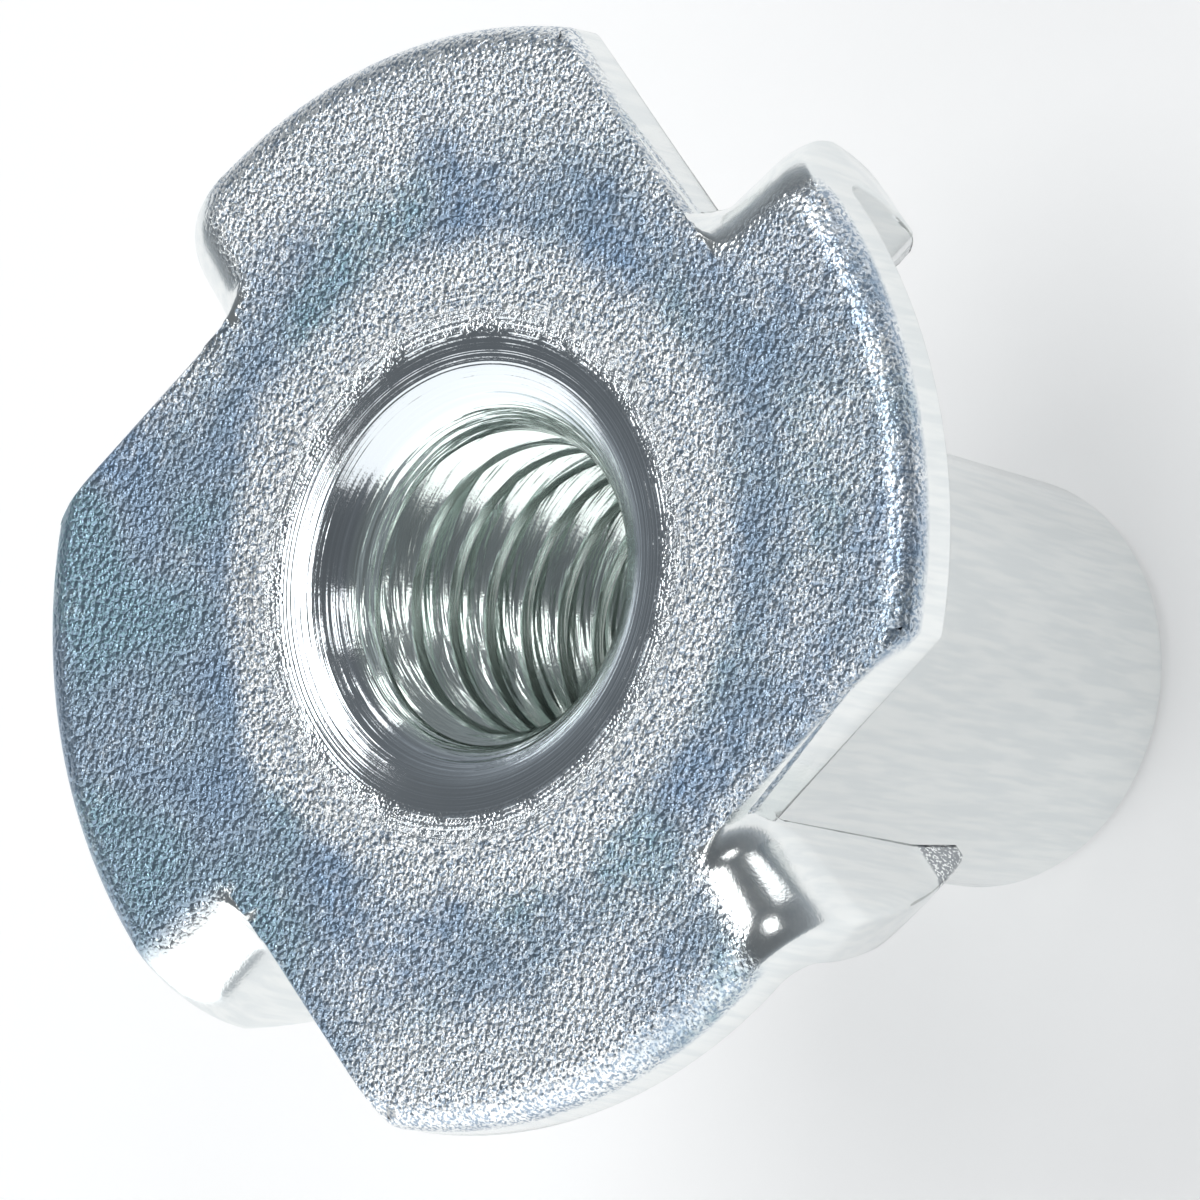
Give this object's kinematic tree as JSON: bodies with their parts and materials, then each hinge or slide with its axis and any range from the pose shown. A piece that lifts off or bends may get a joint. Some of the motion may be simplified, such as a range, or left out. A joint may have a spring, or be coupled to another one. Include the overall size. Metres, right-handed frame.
{
  "type": "tee nut",
  "caption": "Round pinwheel flange with bent-back prongs and a tapered barrel, threaded through for a machine screw.",
  "frame": {"origin": "centre of the barrel's end face, on the thread axis", "axes": "+Z along the thread axis, from the barrel's end to the flange's front face; +X through the outer corner of one notch"},
  "size_m": [0.019, 0.019, 0.015],
  "materials": {
    "zinc_plated_steel": "bright blue-passivated zinc, finely speckled on the flange face"
  },
  "bodies": {
    "root": {"tee_nut": "zinc_plated_steel"}
  },
  "joints": []
}
